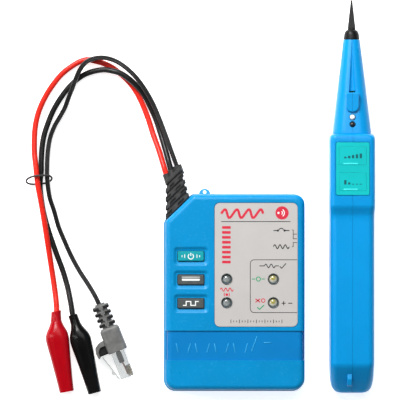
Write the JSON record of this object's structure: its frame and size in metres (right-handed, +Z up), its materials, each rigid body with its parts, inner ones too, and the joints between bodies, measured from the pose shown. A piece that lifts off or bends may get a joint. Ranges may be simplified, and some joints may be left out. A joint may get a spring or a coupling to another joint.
{
  "type": "tone probe kit",
  "caption": "Tone generator with red and black clip leads and a modular plug, lying beside its long inductive tracing probe with a slim black tip.",
  "frame": {"origin": "on the surface that both units lie on, in the middle of the rectangle that the toner and the probe take up together, their leads left out", "axes": "+Z up out of the control faces, +Y along the probe from its lanyard end to its tip, +X from the toner to the probe"},
  "size_m": [0.1957, 0.2216, 0.0333],
  "materials": {
    "blue_plastic": "bright blue moulded ABS, satin gloss",
    "label_grey": "light warm grey polyester label",
    "turquoise_plastic": "turquoise moulded keys and membrane",
    "slate_plastic": "dark blue-grey moulded keys",
    "black_plastic": "black moulded plastic",
    "black_rubber": "matt black rubber",
    "black_vinyl": "black flexible PVC, slight gloss",
    "red_vinyl": "red flexible PVC, slight gloss",
    "grey_boot": "dark grey moulded boot",
    "keypad_rubber": "grey silicone mat",
    "smoky_lens": "smoky translucent LED epoxy",
    "clear_lens": "clear LED epoxy",
    "white_lens": "milky white LED epoxy",
    "clear_plastic": "clear polycarbonate",
    "gold_plate": "gold plated contact blades",
    "zinc": "nickel or zinc plated steel",
    "battery_jacket": "plain dark battery jacket",
    "circuit_board": "green solder mask"
  },
  "bodies": {
    "toner": {"toner_front_cover": "blue_plastic", "toner_back_cover": "blue_plastic", "toner_label_plate": "label_grey", "toner_battery_snap": "black_plastic", "toner_keypad_mat": "keypad_rubber", "toner_led_upper_left": "smoky_lens", "toner_led_lower_left": "smoky_lens", "toner_led_upper_right": "clear_lens", "toner_led_lower_right": "clear_lens", "toner_screw_1": "zinc", "toner_screw_2": "zinc", "toner_screw_3": "zinc", "toner_screw_4": "zinc", "toner_battery": "battery_jacket", "toner_circuit_board": "circuit_board", "mode_switch_body": "zinc", "strain_relief": "black_rubber", "lead_red": "red_vinyl", "lead_black": "black_vinyl", "lead_modular": "black_vinyl", "cable_tie": "black_rubber", "red_clip_boot_fixed": "red_vinyl", "red_clip_jaw_fixed": "zinc", "red_clip_rivet": "zinc", "red_clip_spring": "zinc", "black_clip_boot_fixed": "black_vinyl", "black_clip_jaw_fixed": "zinc", "black_clip_rivet": "zinc", "black_clip_spring": "zinc", "plug_boot": "grey_boot", "plug_body": "clear_plastic", "plug_contacts": "gold_plate"},
    "power_button": {"button_power": "turquoise_plastic"},
    "steady_tone_button": {"button_steady_tone": "slate_plastic"},
    "alternate_tone_button": {"button_alternate_tone": "slate_plastic"},
    "mode_switch": {"mode_switch_slider": "black_plastic"},
    "toner_door": {"toner_battery_door": "blue_plastic"},
    "red_clip_jaw": {"red_clip_boot_moving": "red_vinyl", "red_clip_jaw_moving": "zinc"},
    "black_clip_jaw": {"black_clip_boot_moving": "black_vinyl", "black_clip_jaw_moving": "zinc"},
    "latch": {"plug_latch": "clear_plastic"},
    "probe": {"probe_case_left": "blue_plastic", "probe_case_right": "blue_plastic", "probe_keypad_overlay": "turquoise_plastic", "probe_battery_snap": "black_plastic", "probe_tip": "black_plastic", "probe_collar": "black_plastic", "probe_speaker": "black_plastic", "probe_signal_led": "smoky_lens", "probe_lamp_led": "clear_lens", "probe_power_led": "white_lens", "probe_screw_1": "zinc", "probe_screw_2": "zinc", "probe_screw_3": "zinc", "probe_battery": "battery_jacket", "probe_circuit_board": "circuit_board"},
    "high_key": {"probe_key_high": "turquoise_plastic"},
    "low_key": {"probe_key_low": "turquoise_plastic"},
    "probe_door": {"probe_battery_door": "blue_plastic"}
  },
  "joints": [
    {"name": "power_press", "type": "slide", "parent": "toner", "child": "power_button", "axis": [0, 0, -1], "range_m": [0, 0.0008], "stiffness_N_per_m": 300, "springref_m": -0.0002},
    {"name": "steady_tone_press", "type": "slide", "parent": "toner", "child": "steady_tone_button", "axis": [0, 0, -1], "range_m": [0, 0.0008], "stiffness_N_per_m": 300, "springref_m": -0.0002},
    {"name": "alternate_tone_press", "type": "slide", "parent": "toner", "child": "alternate_tone_button", "axis": [0, 0, -1], "range_m": [0, 0.0008], "stiffness_N_per_m": 300, "springref_m": -0.0002},
    {"name": "mode_switch_slide", "type": "slide", "parent": "toner", "child": "mode_switch", "axis": [0, 1, 0], "range_m": [-0.002, 0.002]},
    {"name": "toner_door_slide", "type": "slide", "parent": "toner", "child": "toner_door", "axis": [0, -1, 0], "range_m": [0, 0.012]},
    {"name": "red_clip_open", "type": "hinge", "parent": "toner", "child": "red_clip_jaw", "pos_m": [-0.11775, -0.0861, 0.006], "axis": [0, 0, -1], "range_deg": [0, 15], "stiffness_Nm_per_rad": 0.05, "springref_deg": -8.59},
    {"name": "black_clip_open", "type": "hinge", "parent": "toner", "child": "black_clip_jaw", "pos_m": [-0.104, -0.0872, 0.006], "axis": [0, 0, -1], "range_deg": [0, 15], "stiffness_Nm_per_rad": 0.05, "springref_deg": -8.59},
    {"name": "latch_press", "type": "hinge", "parent": "toner", "child": "latch", "pos_m": [-0.08369, -0.1029, 0.0066], "axis": [0, 0, -1], "range_deg": [0, 9], "stiffness_Nm_per_rad": 0.02, "springref_deg": -1.15},
    {"name": "probe_lift", "type": "slide", "parent": "toner", "child": "probe", "axis": [0, 0, 1], "range_m": [0, 0.1]},
    {"name": "high_key_press", "type": "slide", "parent": "probe", "child": "high_key", "axis": [0, 0, -1], "range_m": [0, 0.0005], "stiffness_N_per_m": 300, "springref_m": -0.0002},
    {"name": "low_key_press", "type": "slide", "parent": "probe", "child": "low_key", "axis": [0, 0, -1], "range_m": [0, 0.0005], "stiffness_N_per_m": 300, "springref_m": -0.0002},
    {"name": "probe_door_slide", "type": "slide", "parent": "probe", "child": "probe_door", "axis": [0, -1, 0], "range_m": [0, 0.012]}
  ]
}
